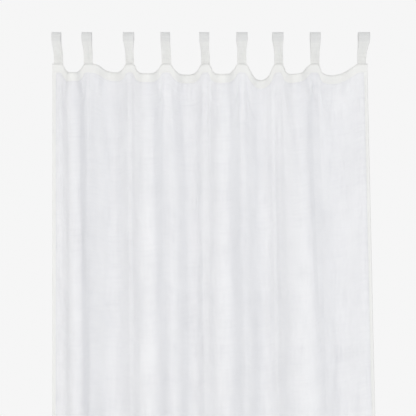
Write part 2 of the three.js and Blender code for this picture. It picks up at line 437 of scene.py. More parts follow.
def settle(points, frames):
    """Hangs the sheet from its tabs for some frames and returns where it comes to rest."""
    cloth = grid_object("hanging_cloth", points)
    pinned = [k for k, cut in enumerate(cut_lines) if np.abs(tab_cut - cut).min() < SHELF]
    cloth.vertex_groups.new(name="tabs").add(pinned, 1.0, "REPLACE")
    modifier = cloth.modifiers.new("linen", "CLOTH")
    for setting, value in LINEN.items():
        setattr(modifier.settings, setting, value)
    modifier.settings.vertex_group_mass = "tabs"
    modifier.collision_settings.use_collision = False
    modifier.point_cache.frame_end = frames
    for moment in range(1, frames + 1):
        bpy.context.scene.frame_set(moment)
    result = cloth.evaluated_get(bpy.context.evaluated_depsgraph_get())
    rest = np.empty(points.size)
    result.data.vertices.foreach_get("co", rest)
    bpy.context.scene.frame_set(1)
    bpy.data.objects.remove(cloth)
    return rest.reshape(points.shape)


settled = settle(hung, SETTLE_FRAMES)
print("the cloth moved at most, mm:", round(float(np.abs(settled - hung).max()) * 1000, 1))
assert np.isfinite(settled).all()

# %% [markdown]
# ## From points to layers
#
# A real panel is layers: the cloth itself, a facing behind its top edge, and hems
# folded to the back. If every layer is cut from the same grid and only moved along
# the surface's own direction, the layers follow each other without ever crossing.
# First the grid is made twice as fine across the folds, because that is the way the
# cloth curves. The simulation would crumple the doubled heading, which is sewn too
# stiff for that in a real panel, so the heading keeps the shape it was drawn with and
# hands over to the settled cloth within about ten centimetres.

# %% Fine grid and its directions
EVENING_PASSES = 3


def finer(points):
    """Adds a point half-way between each two columns, on a smooth curve."""
    before = np.concatenate([points[:, :1] * 2 - points[:, 1:2], points[:, :-2]], axis=1)
    after = np.concatenate([points[:, 2:], points[:, -1:] * 2 - points[:, -2:-1]], axis=1)
    between = (9 * (points[:, :-1] + points[:, 1:]) - before - after) / 16
    fine = np.empty((points.shape[0], points.shape[1] * 2 - 1, 3))
    fine[:, ::2], fine[:, 1::2] = points, between
    return fine


def directions(points):
    """The unit direction to the cloth's back at every point."""
    across = np.gradient(points, axis=1)
    down = np.gradient(points, axis=0)
    back = np.cross(across, down)
    return back / np.linalg.norm(back, axis=2, keepdims=True)


def evened(backs, passes):
    """The same directions with their sharpest turns across the cloth averaged out."""
    for _ in range(passes):
        wide = np.pad(backs, ((0, 0), (1, 1), (0, 0)), mode="edge")
        backs = wide[:, :-2] + 2 * wide[:, 1:-1] + wide[:, 2:]
        backs = backs / np.linalg.norm(backs, axis=2, keepdims=True)
    return backs


heading_share = np.exp(-(down_lines / HEADING_STIFF) ** 2)[:, None, None]
fall = finer(hung * heading_share + settled * (1 - heading_share))
fine_cuts = np.empty(fall.shape[1])
fine_cuts[::2], fine_cuts[1::2] = cut_lines, (cut_lines[:-1] + cut_lines[1:]) / 2
to_back = evened(directions(fall), EVENING_PASSES)
print("fine grid:", fall.shape[:2], "mean direction to the back:", np.round(to_back.mean((0, 1)), 2))

# %% [markdown]
# ## One way to make every layer
#
# Each layer becomes a closed, very thin solid: a front, a back and a rim. Its UV map
# holds the flat cut's own coordinates in metres, so a weave drawn on it runs with
# the threads, however the cloth is folded.

# %% Layer builder
CUT_MAP = "cut"


def closed_layer(name, front, back, cuts, downs):
    """A closed solid between two grids of points, with the flat cut as its UV map."""
    rows, columns = front.shape[:2]
    corner = np.arange(rows * columns).reshape(rows, columns)
    other = corner + rows * columns
    quads = [cells_of(corner), cells_of(other)[:, ::-1]]
    for edge, flip in ((0, False), (-1, True)):
        side = np.stack([corner[edge, :-1], corner[edge, 1:], other[edge, 1:], other[edge, :-1]], -1)
        quads.append(side[:, ::-1] if flip else side)
        side = np.stack([corner[:-1, edge], other[:-1, edge], other[1:, edge], corner[1:, edge]], -1)
        quads.append(side[:, ::-1] if flip else side)
    mesh = bpy.data.meshes.new(name)
    points = np.concatenate([front.reshape(-1, 3), back.reshape(-1, 3)])
    mesh.from_pydata(points.tolist(), [], np.concatenate(quads).tolist())
    flat = np.stack(np.broadcast_arrays(cuts[None, :], -downs[:, None]), -1).reshape(-1, 2)
    flat = np.concatenate([flat, flat])
    corners = np.empty(len(mesh.loops), dtype=int)
    mesh.loops.foreach_get("vertex_index", corners)
    mesh.uv_layers.new(name=CUT_MAP).data.foreach_set("uv", flat[corners].ravel())
    mesh.polygons.foreach_set("use_smooth", [True] * len(mesh.polygons))
    made = bpy.data.objects.new(name, mesh)
    bpy.context.collection.objects.link(made)
    return made


def layer(name, rows, columns, behind):
    """A layer of cloth over some of the grid; behind is how far back its middle lies."""
    middle = fall[rows, columns] + to_back[rows, columns] * behind[..., None]
    half = to_back[rows, columns] * (CLOTH / 2)
    return closed_layer(name, middle - half, middle + half, fine_cuts[columns], down_lines[rows])


def lowest_row(down):
    return int(np.argmin(np.abs(down_lines - down))) + 1


def column_at(cut):
    return int(np.argmin(np.abs(fine_cuts - cut)))


all_rows, all_columns = slice(None), slice(None)
panel = layer("linen_panel", all_rows, all_columns, np.zeros(fall.shape[:2]))
print("panel faces:", len(panel.data.polygons))

# %% [markdown]
# ## Facing and hems
#
# The facing is a band behind the top edge. It closes in the tabs' tails, so it
# stands off the panel at each tab and lies close in between. The side hems are
# narrow turned edges, and the bottom hem is a deep one whose weight keeps the folds
# straight.

# %% Facing and hems
TAB_FOOT = 0.027             # width of a tab where it goes into the heading
FOOT_ROOM = 0.001            # beside the foot, before the facing starts to close
FACING_SLOPE = 0.024         # how far it takes to close
tail_room = 2 * TAB_THICKNESS + 2 * LAYER_GAP + CLOTH
close_behind = CLOTH + LAYER_GAP


def smooth(t):
    """0 up to 0, 1 from 1 on, and an even swell in between."""
    t = np.clip(t, 0, 1)
    return t * t * (3 - 2 * t)


def near_tab(cuts):
    """1 across a tab's tail, falling smoothly to 0 beside it."""
    away = np.abs(cuts[:, None] - tab_cut[None, :]).min(axis=1) - TAB_FOOT / 2 - FOOT_ROOM
    return smooth(1 - away / FACING_SLOPE)


facing_rows = slice(0, lowest_row(FACING_DEPTH))
facing_back = close_behind + (tail_room - close_behind) * near_tab(fine_cuts)
facing = layer("heading_facing_band", facing_rows, all_columns,
               np.broadcast_to(facing_back, fall[facing_rows].shape[:2]))

hem_start = lowest_row(PANEL_HEIGHT - BOTTOM_HEM) - 1
hem_rows = slice(hem_start, None)
bottom_hem = layer("turned_bottom_hem", hem_rows, all_columns,
                   np.full(fall[hem_rows].shape[:2], close_behind))

side_rows = slice(lowest_row(FACING_DEPTH), hem_start)
side_hems = []
for which, columns in (("left", slice(0, column_at(SIDE_HEM) + 1)),
                       ("right", slice(column_at(FLAT_WIDTH - SIDE_HEM), None))):
    shape = fall[side_rows, columns].shape[:2]
    side_hems.append(layer(f"turned_side_hem_{which}", side_rows, columns, np.full(shape, close_behind)))
print("hems:", [hem.name for hem in side_hems], bottom_hem.name, "and", facing.name)

# %% [markdown]
# ## The tabs
#
# A tab is a turned strip, folded over the rod, with both ends sewn in between the
# panel and the facing. At the rod it lies flat. On the way down the pull of the
# cloth narrows it, so it cups or folds lengthwise, and at its base it takes the
# panel's own turn. No two were pulled alike, so each has its own row in the list.

# %% Tab sizes
ROD_RADIUS = 0.014
LOOP_RADIUS = ROD_RADIUS + LAYER_GAP + TAB_THICKNESS / 2
NECK_Z = -0.062              # where the two legs have come together
TAIL_DEPTH = 0.025           # sewn in between panel and facing
NECKS = [  # width over the rod and at the neck, cup and fold of the neck, lean of the head, all in m
    (0.028, 0.027, 0.002, 0.0015, -0.0045),
    (0.031, 0.026, 0.002, 0.0020, -0.0020),
    (0.034, 0.023, -0.003, 0.0030, -0.0020),
    (0.029, 0.028, 0.002, 0.0010, -0.0005),
    (0.031, 0.024, -0.003, 0.0030, -0.0010),
    (0.035, 0.026, 0.003, 0.0015, -0.0015),
    (0.034, 0.024, 0.002, 0.0035, -0.0010),
    (0.032, 0.028, -0.002, 0.0020, -0.0005),
    (0.036, 0.031, 0.003, 0.0010, 0.0000),
]
leg_angle = math.acos(LOOP_RADIUS / -NECK_Z)         # where a leg leaves the rod
tangent_y, tangent_z = LOOP_RADIUS * math.sin(leg_angle), -LOOP_RADIUS * math.cos(leg_angle)
half_apart = TAB_THICKNESS / 2 + 0.00003             # from the middle of both legs to one of them
tail_middle = CLOTH / 2 + LAYER_GAP + TAB_THICKNESS
print("legs leave the rod at, mm:", round(1000 * tangent_y, 1), round(1000 * tangent_z, 1))

# %% [markdown]
# ## A tab's legs and its loop
#
# The strip is described by lines across it: up the front leg, over the rod and down
# the back leg. Along a leg the share t runs from 0 at the heading to 1 at the rod, and
# width, cup, lean and place each blend with it at their own pace. A simulation could
# do this too, but a strip this narrow needs a very fine mesh for it, and its neck
# would not end up where the plain model's tab is.

# %% Lines across a tab
ACROSS = np.linspace(-1, 1, 17)
TAIL_LINES, LEG_LINES, LOOP_LINES = 4, 18, 17
NECK_SHARE = 0.6             # of a leg, over which it narrows below the rod
FOOT_SHARE = 0.3             # of a leg, over which it widens into its foot
CURL_SHARE = 0.35            # of a leg, over which the cup starts
LEAN_PACE = 1.1
CROWN = 0.0003               # how far the strip's edges stand off the rod


def heading_line(i, down, behind):
    """A line across tab i on the panel's heading, moved behind it."""
    cuts = tab_cut[i] + ACROSS * TAB_FOOT / 2
    row = np.interp(down, down_lines, np.arange(len(down_lines)))
    low, share = int(row), row - int(row)
    high = min(low + 1, len(down_lines) - 1)
    points = fall[low] * (1 - share) + fall[high] * share
    backs = to_back[low] * (1 - share) + to_back[high] * share
    line = [np.interp(cuts, fine_cuts, points[:, k] + backs[:, k] * behind) for k in range(3)]
    return np.stack(line, -1)


def leg_line(i, t, side, base):
    """A line across one leg, a share t of the way from its foot to the rod."""
    rod_width, neck_width, cup, fold, lean = NECKS[i]
    z = base[:, 2] + (tangent_z - base[:, 2]) * t
    blend = smooth(t)
    narrow = smooth((1 - t) / NECK_SHARE)
    foot = 1 - smooth(t / FOOT_SHARE)
    width = rod_width + (neck_width - rod_width) * narrow + (TAB_FOOT - neck_width) * foot
    leaning = base_shift[i] + (lean - base_shift[i]) * smooth(t * LEAN_PACE)
    x = (1 - blend) * base[:, 0] + blend * (tab_x[i] + leaning + ACROSS * width / 2)
    bent = cup * (1 - ACROSS ** 2) + fold * np.sin(np.pi * ACROSS)
    spread = np.clip((z.mean() - NECK_Z) / (tangent_z - NECK_Z), 0, 1)
    y = (1 - blend) * base[:, 1] + smooth(t / CURL_SHARE) * narrow * bent
    y = y + side * (half_apart + (tangent_y - half_apart) * spread)
    return np.stack([x, y, z], -1)


def tab_leg(i, side):
    """Lines from the end of a tail up to the rod; side is -1 in front and 1 behind."""
    base = heading_line(i, 0, tail_middle)
    tail = [heading_line(i, down, tail_middle + side * half_apart)
            for down in np.linspace(TAIL_DEPTH, 0.004, TAIL_LINES)]
    return tail + [leg_line(i, t, side, base) for t in np.linspace(0, 1, LEG_LINES + 1)[:-1]]


def tab_loop(i):
    """Lines over the rod, from the front leg to the back one."""
    rod_width, _, _, _, lean = NECKS[i]
    x = tab_x[i] + lean + ACROSS * rod_width / 2
    radius = LOOP_RADIUS + CROWN * ACROSS ** 2
    angles = np.linspace(leg_angle, 2 * math.pi - leg_angle, LOOP_LINES)
    return [np.stack([x, -radius * math.sin(a), -radius * math.cos(a)], -1) for a in angles]


print("lines in one tab:", len(tab_leg(0, -1)) + len(tab_loop(0)) + len(tab_leg(0, 1)))

# %% [markdown]
# ## Nine sewn strips
#
# The lines are joined to a closed strip that is thinner at its turned edges, as a
# pressed tube of cloth is. Its UV map runs along the strip, with a step sideways from
# tab to tab so that no two show the same slubs.

# %% Tabs
SLUB_STEP = 0.1              # sideways on the cut, from one tab to the next
EDGE_THINNING = 0.5


def make_tab(i):
    """One sewn strip as a closed solid, thinner at its turned edges."""
    middle = np.array(tab_leg(i, -1) + tab_loop(i) + tab_leg(i, 1)[::-1])
    half = TAB_THICKNESS / 2 * (1 - EDGE_THINNING * np.abs(ACROSS) ** 6)
    half = directions(middle) * half[None, :, None]
    lengths = np.linalg.norm(np.diff(middle[:, len(ACROSS) // 2], axis=0), axis=1)
    along = np.concatenate([[0], np.cumsum(lengths)])
    cuts = ACROSS * TAB_WIDTH / 2 + SLUB_STEP * i
    return closed_layer(f"sewn_tab_{i + 1}", middle - half, middle + half, cuts, along)


def strip_length(tab):
    """How long a tab's strip is, read off its UV map."""
    return -min(corner.uv[1] for corner in tab.data.uv_layers[CUT_MAP].data)


tabs = [make_tab(i) for i in range(len(TABS))]
print("tab strip lengths, mm:", [round(1000 * strip_length(tab)) for tab in tabs])

# %% [markdown]
# ## Stitches
#
# The layers are held by lockstitch: two lines along the heading, one down each side
# and one along the bottom hem. A line of stitches is a small shape repeated along a
# path, which is what Geometry Nodes are good at: the tree turns the path into a
# curve, puts a point on it every stitch, sets a stitch on each point along the
# curve's direction, and varies their lengths a little. The path is the only thing
# that differs from seam to seam.

# %% Stitch tree
STITCH_PITCH = 0.0032
STITCH_LENGTH = 0.0026
THREAD = 0.0005              # thickness
SHORTEST, LONGEST = 0.90, 1.08       # stitch, as a share of STITCH_LENGTH
FIRST_SEED = 7


def stitch_tree():
    """A node tree that sews along the edges of the mesh that it is given."""
    tree = bpy.data.node_groups.new("lockstitch", "GeometryNodeTree")
    put = tree.interface.new_socket
    put("Geometry", in_out="INPUT", socket_type="NodeSocketGeometry")
    for label, value in (("Stitch Pitch", STITCH_PITCH), ("Stitch Length", STITCH_LENGTH),
                         ("Thread Thickness", THREAD)):
        put(label, in_out="INPUT", socket_type="NodeSocketFloat").default_value = value
    put("Seed", in_out="INPUT", socket_type="NodeSocketInt").default_value = FIRST_SEED
    put("Thread", in_out="INPUT", socket_type="NodeSocketMaterial")
    put("Geometry", in_out="OUTPUT", socket_type="NodeSocketGeometry")
    add, join = tree.nodes.new, tree.links.new
    given, done = add("NodeGroupInput"), add("NodeGroupOutput")
    curve = add("GeometryNodeMeshToCurve")
    steps = add("GeometryNodeResampleCurve")
    steps.mode = "LENGTH"
    bead = add("GeometryNodeMeshUVSphere")
    bead.inputs["Segments"].default_value = 6
    bead.inputs["Rings"].default_value = 4
    bead.inputs["Radius"].default_value = 0.5
    size = add("ShaderNodeCombineXYZ")
    shape = add("GeometryNodeTransform")
    along = add("GeometryNodeInputTangent")
    turn = add("FunctionNodeAlignRotationToVector")
    turn.axis = "X"
    vary = add("FunctionNodeRandomValue")
    vary.inputs[2].default_value, vary.inputs[3].default_value = SHORTEST, LONGEST
    sewn = add("GeometryNodeInstanceOnPoints")
    real = add("GeometryNodeRealizeInstances")
    finish = add("GeometryNodeSetMaterial")
    join(given.outputs["Geometry"], curve.inputs["Mesh"])
    join(curve.outputs["Curve"], steps.inputs["Curve"])
    join(given.outputs["Stitch Pitch"], steps.inputs["Length"])
    join(given.outputs["Stitch Length"], size.inputs["X"])
    join(given.outputs["Thread Thickness"], size.inputs["Y"])
    join(given.outputs["Thread Thickness"], size.inputs["Z"])
    join(bead.outputs["Mesh"], shape.inputs["Geometry"])
    join(size.outputs[0], shape.inputs["Scale"])
    join(along.outputs[0], turn.inputs["Vector"])
    join(given.outputs["Seed"], vary.inputs["Seed"])
    join(steps.outputs["Curve"], sewn.inputs["Points"])
    join(shape.outputs["Geometry"], sewn.inputs["Instance"])
    join(turn.outputs["Rotation"], sewn.inputs["Rotation"])
    join(vary.outputs[1], sewn.inputs["Scale"])
    join(sewn.outputs["Instances"], real.inputs["Geometry"])
    join(real.outputs["Geometry"], finish.inputs["Geometry"])
    join(given.outputs["Thread"], finish.inputs["Material"])
    join(finish.outputs["Geometry"], done.inputs["Geometry"])
    return tree


lockstitch = stitch_tree()
print("stitch inputs:", [item.name for item in lockstitch.interface.items_tree][:6])

# %% [markdown]
# ## Where the seams run
#
# Each seam shows on both faces, so its path has a front line and a back line. They
# are read off the panel at a fixed distance from its edges, as a sewing machine's
# guide would set it, and lie on the cloth with half of the thread sunk in.

# %% Seam paths
TOP_STITCH = 0.003           # from the top edge
HEM_STITCH = 0.0025          # inside a hem's or the facing's inner edge
sunk = CLOTH / 2 + THREAD * 0.3      # from a layer's middle to its half-sunk thread


def on_panel(cuts, downs, behind):
    """Points on the panel's middle, moved behind it, at given places of the flat cut."""
    u = np.interp(cuts, fine_cuts, np.arange(len(fine_cuts)))
    v = np.interp(downs, down_lines, np.arange(len(down_lines)))
    i = np.minimum(u.astype(int), len(fine_cuts) - 2)
    j = np.minimum(v.astype(int), len(down_lines) - 2)
    a, b = (u - i)[:, None], (v - j)[:, None]

    def blend(grid):
        upper = grid[j, i] * (1 - a) + grid[j, i + 1] * a
        lower = grid[j + 1, i] * (1 - a) + grid[j + 1, i + 1] * a
        return upper * (1 - b) + lower * b

    return blend(fall) + blend(to_back) * np.asarray(behind)[:, None]


def seam(name, cuts, downs, back_of):
    """Stitches along a line of the flat cut, on the front and on the back."""
    lines = [on_panel(cuts, downs, np.full(len(cuts), -sunk)),
             on_panel(cuts, downs, back_of + sunk)]
    count = len(cuts)
    edges = [(k, k + 1) for k in range(count - 1)]
    edges += [(count + a, count + b) for a, b in edges]
    mesh = bpy.data.meshes.new(name + "_path")
    mesh.from_pydata(np.concatenate(lines).tolist(), edges, [])
    path = bpy.data.objects.new(name + "_path", mesh)
    bpy.context.collection.objects.link(path)
    sewing = path.modifiers.new("sewing", "NODES")
    sewing.node_group = lockstitch
    for item in lockstitch.interface.items_tree:
        if item.name == "Thread":
            sewing[item.identifier] = thread_finish
        if item.name == "Seed":
            sewing[item.identifier] = FIRST_SEED + len(name)
    seen = path.evaluated_get(bpy.context.evaluated_depsgraph_get())
    sewn = bpy.data.objects.new(name, bpy.data.meshes.new_from_object(seen))
    bpy.context.collection.objects.link(sewn)
    bpy.data.objects.remove(path)
    sewn.data.polygons.foreach_set("use_smooth", [True] * len(sewn.data.polygons))
    return sewn


print("threads lie off the panel's middle by, mm:", round(1000 * sunk, 2))

# %% [markdown]
# ## A short way to write nodes
#
# A material is a graph, and a graph written link by link is long to read. This helper
# adds a node and connects its inputs in one call: an input that is given another
# node's output is linked, and any other value is set on the socket.

# %% Node helper


class Nodes:
    """A short way to write a material's nodes."""

    def __init__(self, material):
        material.use_nodes = True
        self.tree = material.node_tree
        self.tree.nodes.clear()

    def add(self, kind, inputs=(), **settings):
        node = self.tree.nodes.new(kind)
        for key, value in settings.items():
            setattr(node, key, value)
        for key, value in dict(inputs).items():
            if isinstance(value, bpy.types.NodeSocket):
                self.tree.links.new(value, node.inputs[key])
            else:
                node.inputs[key].default_value = value
        return node

    def math(self, operation, a, b=0.0, clamp=False):
        node = self.add("ShaderNodeMath", {0: a, 1: b}, operation=operation)
        node.use_clamp = clamp
        return node.outputs[0]

    def noise(self, place, scale, detail, roughness=0.5):
        return self.add("ShaderNodeTexNoise", {"Vector": place, "Scale": scale, "Detail": detail,
                                               "Roughness": roughness}).outputs["Fac"]

    def stretched_noise(self, u, v, across, along, detail=2.0):
        """Noise on the flat cut, with across and along features to a metre."""
        place = self.add("ShaderNodeCombineXYZ", {0: self.math("MULTIPLY", u, across),
                                                  1: self.math("MULTIPLY", v, along)})
        return self.noise(place.outputs[0], 1.0, detail, 0.6)

    def ramp(self, value, low, high, bottom=0.0, top=1.0):
        return self.add("ShaderNodeMapRange", {"Value": value, "From Min": low, "From Max": high,
                                               "To Min": bottom, "To Max": top}).outputs["Result"]

    def mix(self, share, colour, other):
        return self.add("ShaderNodeMix", {"Factor": share, "A": colour, "B": other},
                        data_type="RGBA").outputs[2]

    def bump(self, height, strength, distance):
        return self.add("ShaderNodeBump", {"Strength": strength, "Distance": distance,
                                           "Height": height}).outputs[0]


print("node helper:", [name for name in vars(Nodes) if not name.startswith("_")])

# %% [markdown]
# ## Warp and weft
#
# Linen is a plain weave: each thread goes over one crossing thread and under the
# next. Two rows of ridges, swapped cell by cell, give the over-and-under. Flax yarn is
# uneven, so some threads swell into slubs a few centimetres long. A slub has to stay
# on its own thread, so the noise is read at the thread's number and not at the exact
# place. All of it is drawn on the flat cut, so a thread keeps its width wherever the
# cloth folds.

# %% Threads of the weave
YARN = 0.0011                # from one thread of the warp to the next
WEFT_SHARE = 0.94            # the weft is packed a little closer
DRIFT = 0.0008               # how far threads wander
DIP = 0.45                   # how much lower the thread underneath lies
SLUBS = (0.54, 0.70)         # where noise starts to be a slub, and is a full one
STREAKS = (0.42, 0.70)
WARP_STREAKS, WEFT_STREAKS, CLOUDS = 0.11, 0.18, 0.20       # how dark each of them gets


def threads(n, u, v):
    """Places in the warp and in the weft, counted in threads."""
    drift = n.math("MULTIPLY", n.stretched_noise(u, v, 40, 40), DRIFT)
    return (n.math("DIVIDE", n.math("ADD", u, drift), YARN),
            n.math("DIVIDE", n.math("ADD", v, drift), YARN * WEFT_SHARE))


def ridge(n, thread_at):
    """1 along the middle of each thread, 0 between two."""
    return n.math("ABSOLUTE", n.math("SINE", n.math("MULTIPLY", thread_at, math.pi)))


def one_place(n, thread_at, count=1):
    """The same place for every point on a thread, or on a group of count threads."""
    number = n.math("FLOOR", n.math("MULTIPLY", thread_at, 1 / count))
    return n.math("MULTIPLY", number, count * YARN)


def woven(n, warp, weft, warp_at, weft_at):
    """The height of whichever thread is on top."""
    parity = n.math("ADD", n.math("FLOOR", warp_at), n.math("FLOOR", weft_at))
    over = n.math("MULTIPLY", n.math("FRACT", n.math("MULTIPLY", parity, 0.5)), 2.0)
    swap = n.math("MULTIPLY", over, DIP)
    return n.math("MAXIMUM", n.math("MULTIPLY", warp, n.math("ADD", 1 - DIP, swap)),
                  n.math("MULTIPLY", weft, n.math("SUBTRACT", 1.0, swap)))


def slubs(n, u, v, warp_at, weft_at):
    """1 on the thick places of single threads."""
    upright = n.ramp(n.stretched_noise(one_place(n, warp_at), v, 520, 12), *SLUBS)
    level = n.ramp(n.stretched_noise(u, one_place(n, weft_at), 12, 520), *SLUBS)
    return n.math("MAXIMUM", upright, level)


def streaks(n, u, v, warp_at, weft_at):
    """Soft darker lines where neighbouring threads are thick together, and faint clouds."""
    upright = n.stretched_noise(one_place(n, warp_at, 2), v, 230, 12, 1.0)
    level = n.stretched_noise(u, one_place(n, weft_at, 2), 12, 260, 1.0)
    clouds = n.stretched_noise(u, v, 9, 5, 3.0)
    lines = n.math("ADD", n.ramp(upright, *STREAKS, 0.0, WARP_STREAKS),
                   n.ramp(level, *STREAKS, 0.0, WEFT_STREAKS))
    return n.math("ADD", lines, n.ramp(clouds, 0.35, 0.7, 0.0, CLOUDS))


print("threads to a centimetre:", round(0.01 / YARN, 1), "by", round(0.01 / YARN / WEFT_SHARE, 1))

# %% [markdown]
# ## Doubled places and painted rod shade
#
# Where a hem or the facing lies behind the panel, two layers stop more light, so the
# band looks closer and warmer. The cut's own coordinates say where that is. The tabs
# get painted shade: on their loops it stands for the rod showing dark through the
# cloth, and on their necks for the shade below the rod. The painted shade has no sharp
# end, so its height is blurred by noise.

# %% Doubled places and painted rod shade
SOFT_EDGE = 0.0004
# colour of the painted shade that the tabs take near the rod
ROD_SHADE_TONE = (0.60, 0.61, 0.64, 1)


def doubled_share(n, u, v):
    """1 where a hem or the facing lies behind the panel, 0 elsewhere."""
    hem, right = BOTTOM_HEM - PANEL_HEIGHT, FLAT_WIDTH - SIDE_HEM
    share = n.ramp(v, -FACING_DEPTH - SOFT_EDGE, -FACING_DEPTH + SOFT_EDGE)
    for edge in (n.ramp(v, hem + SOFT_EDGE, hem - SOFT_EDGE),
                 n.ramp(u, SIDE_HEM + SOFT_EDGE, SIDE_HEM - SOFT_EDGE),
                 n.ramp(u, right - SOFT_EDGE, right + SOFT_EDGE)):
        share = n.math("MAXIMUM", share, edge)
    return share


def painted_rod_shade(n, colour):
    """Paints shade on a tab: greys it towards the rod, and once more where it lies on the rod."""
    place = n.add("ShaderNodeTexCoord").outputs["Object"]
    height = n.add("ShaderNodeSeparateXYZ", {0: place}).outputs[2]
    blur = n.math("MULTIPLY", n.math("SUBTRACT", n.noise(place, 90.0, 3.0), 0.5), 0.012)
    lift = n.math("ADD", height, blur)
    # painted shade: up to 0.16 of the shade colour on the neck, and 0.15 more over the rod
    amount = n.math("ADD", n.ramp(lift, -0.080, -0.030, 0.0, 0.16), n.ramp(lift, -0.018, -0.011, 0.0, 0.15))
    return n.mix(amount, colour, ROD_SHADE_TONE)


print("doubled band ends at, mm:", round(1000 * FACING_DEPTH), "and the hem starts at, mm:",
      round(1000 * (PANEL_HEIGHT - BOTTOM_HEM)))

# %% [markdown]
# ## Linen
#
# Half-sheer cloth does three things with light: matt yarn scatters it, thin yarn lets
# some of it through, and the gaps between the threads let the rest pass straight on.
# So the surface is a mix of three shaders. One recipe serves every piece; only the
# tones, the openness and the glow differ.

# %% Linen recipe
SLUB_LIFT = 0.8              # above the other threads
SLUB_GREY = 0.55
BACKING_SEEN = 0.7           # how far a doubled place takes the backed tone
BACKING_DIMS = 0.6           # how much less of the light comes through it
WIDEST_GAP, CLOSEST_GAP = 2.2, 0.45      # between threads and on them, as shares of openness


def linen_finish(name, tone, shade, openness, glow, has_rod_shade=False, backed=None):
    """Slubby plain weave: tone and shade are its light and dark yarn, glow what it lets through."""
    material = bpy.data.materials.new(name)
    n = Nodes(material)
    cut = n.add("ShaderNodeUVMap", uv_map=CUT_MAP).outputs[0]
    u, v = n.add("ShaderNodeSeparateXYZ", {0: cut}).outputs[:2]
    warp_at, weft_at = threads(n, u, v)
    warp, weft = ridge(n, warp_at), ridge(n, weft_at)
    slub = slubs(n, u, v, warp_at, weft_at)
    slub_grey = n.math("MULTIPLY", slub, SLUB_GREY)
    grey = n.math("ADD", slub_grey, streaks(n, u, v, warp_at, weft_at), clamp=True)
    colour = n.mix(grey, (*tone, 1), (*shade, 1))
    gap = n.ramp(n.math("ADD", n.math("MAXIMUM", warp, weft), n.math("MULTIPLY", slub, 0.5)),
                 0.30, 0.85, openness * WIDEST_GAP, openness * CLOSEST_GAP)
    # paints the rod's shade on the tabs' necks and loops
    if has_rod_shade:
        colour = painted_rod_shade(n, colour)
    if backed:
        share = doubled_share(n, u, v)
        colour = n.mix(n.math("MULTIPLY", share, BACKING_SEEN), colour, (*backed, 1))
        glow = n.math("SUBTRACT", glow, n.math("MULTIPLY", share, glow * BACKING_DIMS))
        gap = n.math("MULTIPLY", gap, n.math("SUBTRACT", 1.0, share))
    lift = n.math("MULTIPLY", slub, SLUB_LIFT)
    height = n.math("ADD", woven(n, warp, weft, warp_at, weft_at), lift)
    bump = n.bump(height, 0.35, 0.0003)
    yarn = n.add("ShaderNodeBsdfPrincipled", {"Base Color": colour, "Roughness": 0.9, "Normal": bump,
                                              "Sheen Weight": 0.15, "Sheen Roughness": 0.6,
                                              "Specular IOR Level": 0.2}).outputs[0]
    through = n.add("ShaderNodeBsdfTranslucent", {"Color": colour, "Normal": bump}).outputs[0]
    cloth = n.add("ShaderNodeMixShader", {0: glow, 1: yarn, 2: through}).outputs[0]
    clear = n.add("ShaderNodeBsdfTransparent").outputs[0]
    sheer = n.add("ShaderNodeMixShader", {0: gap, 1: cloth, 2: clear}).outputs[0]
    n.add("ShaderNodeOutputMaterial", {"Surface": sheer})
    return material


single_finish = linen_finish("sheer_linen", (0.922, 0.926, 0.940), (0.777, 0.783, 0.808), 0.16, 0.33,
                             backed=(0.90, 0.905, 0.885))
doubled_finish = linen_finish("doubled_linen", (0.985, 0.985, 0.972), (0.91, 0.91, 0.895), 0.04, 0.42)
# the tabs' finish carries the painted rod shade
tab_finish = linen_finish("tab_linen", (0.915, 0.92, 0.907), (0.805, 0.81, 0.80), 0.04, 0.20, has_rod_shade=True)
for piece, finish in [(panel, single_finish), (facing, doubled_finish), (bottom_hem, doubled_finish)]:
    piece.data.materials.append(finish)
for hem in side_hems:
    hem.data.materials.append(doubled_finish)
for tab in tabs:
    tab.data.materials.append(tab_finish)
print("finishes:", [m.name for m in (single_finish, doubled_finish, tab_finish)])

# %% [markdown]
# ## Sewing thread
#
# The thread is spun finer and harder than the yarn, so it is matt with a little sheen
# and a touch darker than the cloth. Its twist is far too fine for geometry, so noise
# at the scale of a fibre stands for it.

# %% Thread recipe


def thread_recipe():
    """Matt spun thread with a fine twist."""
    material = bpy.data.materials.new("spun_thread")
    n = Nodes(material)
    twist = n.noise(n.add("ShaderNodeTexCoord").outputs["Object"], 2500.0, 2.0)
    colour = n.mix(twist, (0.74, 0.74, 0.70, 1), (0.60, 0.60, 0.57, 1))
    surface = n.add("ShaderNodeBsdfPrincipled", {"Base Color": colour, "Roughness": 0.65,
                                                 "Normal": n.bump(twist, 0.3, 0.0001),
                                                 "Sheen Weight": 0.1}).outputs[0]
    n.add("ShaderNodeOutputMaterial", {"Surface": surface})
    return material


thread_finish = thread_recipe()
print("thread:", thread_finish.name)

# %% [markdown]
# ## Sewing the seams
#
# With the thread's finish ready, the five seams are sewn on the lines of the flat cut.
# Every one is real stitches, because at a hem they are the detail that tells sewn
# cloth from a folded sheet.

# %% Seams
inner_cuts = fine_cuts[(fine_cuts > TOP_STITCH) & (fine_cuts < FLAT_WIDTH - TOP_STITCH)]
inner_facing = np.interp(inner_cuts, fine_cuts, facing_back)
lower_line = FACING_DEPTH - HEM_STITCH
hem_line = PANEL_HEIGHT - BOTTOM_HEM + HEM_STITCH
side_downs = down_lines[side_rows]
seams = {
    "heading_upper_seam": seam("upper_heading_stitches", inner_cuts,
                               np.full(len(inner_cuts), TOP_STITCH), inner_facing),
    "heading_lower_seam": seam("lower_heading_stitches", inner_cuts,
                               np.full(len(inner_cuts), lower_line), inner_facing),
    "bottom_seam": seam("bottom_hem_stitches", inner_cuts, np.full(len(inner_cuts), hem_line),
                        np.full(len(inner_cuts), close_behind)),
}
for which, inset in (("left", SIDE_HEM - HEM_STITCH), ("right", FLAT_WIDTH - SIDE_HEM + HEM_STITCH)):
    seams[f"side_seam_{which}"] = seam(f"side_hem_stitches_{which}", np.full(len(side_downs), inset),
                                       side_downs, np.full(len(side_downs), close_behind))
print("stitch faces:", {name: len(made.data.polygons) for name, made in seams.items()})
